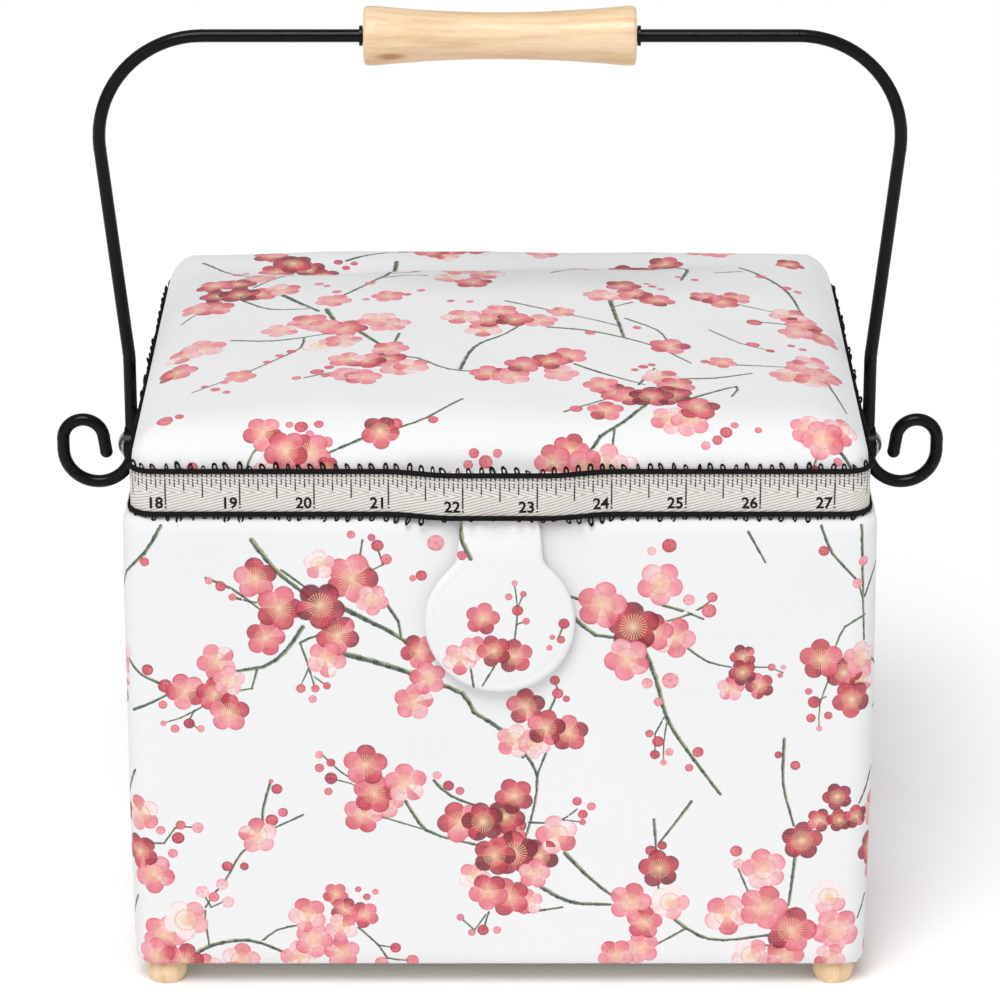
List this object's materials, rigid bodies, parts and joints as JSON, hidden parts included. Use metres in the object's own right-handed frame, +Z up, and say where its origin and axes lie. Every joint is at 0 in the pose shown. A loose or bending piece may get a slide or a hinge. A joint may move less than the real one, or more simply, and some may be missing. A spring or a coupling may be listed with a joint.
{
  "type": "sewing box with trays",
  "caption": "Fabric-covered sewing box with a padded hinged lid, lift-out trays, a tape-measure edge ribbon, a tab closure, a wire bail handle with a wooden grip, and ball feet.",
  "frame": {"origin": "on the floor under the middle of the box", "axes": "+X to the right as seen from the front, +Y towards the back (the hinge side), +Z up"},
  "size_m": [0.323, 0.22, 0.3315],
  "materials": {
    "cotton_print": "printed cotton over thin wadding",
    "plain_cloth": "plain woven cotton",
    "wadding": "soft polyester wadding",
    "tape_ribbon": "woven twill tape with black printing",
    "felt": "wool felt",
    "board": "hard grey board",
    "pale_wood": "turned pale wood, satin varnish",
    "black_enamel": "glossy black enamel",
    "steel": "bright zinc-plated",
    "brass": "satin",
    "tray_plastic": "moulded, satin"
  },
  "bodies": {
    "box": {"body_cover": "cotton_print", "board_front": "board", "board_back": "board", "board_left": "board", "board_right": "board", "base_board": "board", "base_cloth": "plain_cloth", "body_lining": "plain_cloth", "foot_fl": "pale_wood", "foot_fr": "pale_wood", "foot_bl": "pale_wood", "foot_br": "pale_wood", "foot_screws": "steel", "ledge_front": "pale_wood", "ledge_back": "pale_wood", "side_plate_l": "black_enamel", "side_plate_r": "black_enamel", "plate_screws": "steel", "pivot_rivet_l": "steel", "pivot_rivet_r": "steel", "hinge_base_l": "brass", "hinge_base_r": "brass", "hinge_pin_l": "steel", "hinge_pin_r": "steel", "hinge_screws_box": "brass", "catch_plate": "steel"},
    "lid": {"lid_frame": "board", "lid_board": "board", "lid_pad": "wadding", "lid_cover": "cotton_print", "lid_lining": "plain_cloth", "edge_ribbon": "tape_ribbon", "pin_cushion": "felt", "lid_pocket": "cotton_print", "hinge_top_l": "brass", "hinge_top_r": "brass", "hinge_screws_lid": "brass", "tab_anchor": "cotton_print"},
    "tab": {"tab_pad": "cotton_print", "tab_magnet": "steel"},
    "left_tray": {"tray_left": "tray_plastic"},
    "right_tray": {"tray_right": "tray_plastic", "tray_right_divider": "tray_plastic"},
    "bail": {"handle_wire": "black_enamel", "grip_stops": "black_enamel"},
    "grip": {"handle_grip": "pale_wood"}
  },
  "joints": [
    {"name": "lid_hinge", "type": "hinge", "parent": "box", "child": "lid", "pos_m": [0, 0.1075, 0.179], "axis": [-1, 0, 0], "range_deg": [0, 105]},
    {"name": "tab_lift", "type": "hinge", "parent": "lid", "child": "tab", "pos_m": [0, -0.108, 0.1806], "axis": [-1, 0, 0], "range_deg": [0, 65]},
    {"name": "left_tray_lift", "type": "slide", "parent": "box", "child": "left_tray", "axis": [0, 0, 1], "range_m": [0, 0.0755]},
    {"name": "right_tray_lift", "type": "slide", "parent": "box", "child": "right_tray", "axis": [0, 0, 1], "range_m": [0, 0.0755]},
    {"name": "handle_swing", "type": "hinge", "parent": "box", "child": "bail", "pos_m": [0, 0, 0.168], "axis": [-1, 0, 0], "range_deg": [0, 121]},
    {"name": "grip_spin", "type": "hinge", "parent": "bail", "child": "grip", "pos_m": [0, 0, 0.321], "axis": [1, 0, 0], "continuous": true}
  ],
  "couplings": [
    {"joint": "handle_swing", "follows": "lid_hinge", "ratio": 1.15},
    {"joint": "left_tray_lift", "follows": "lid_hinge", "m_per_rad": 0.0409},
    {"joint": "right_tray_lift", "follows": "lid_hinge", "m_per_rad": 0.0409}
  ]
}
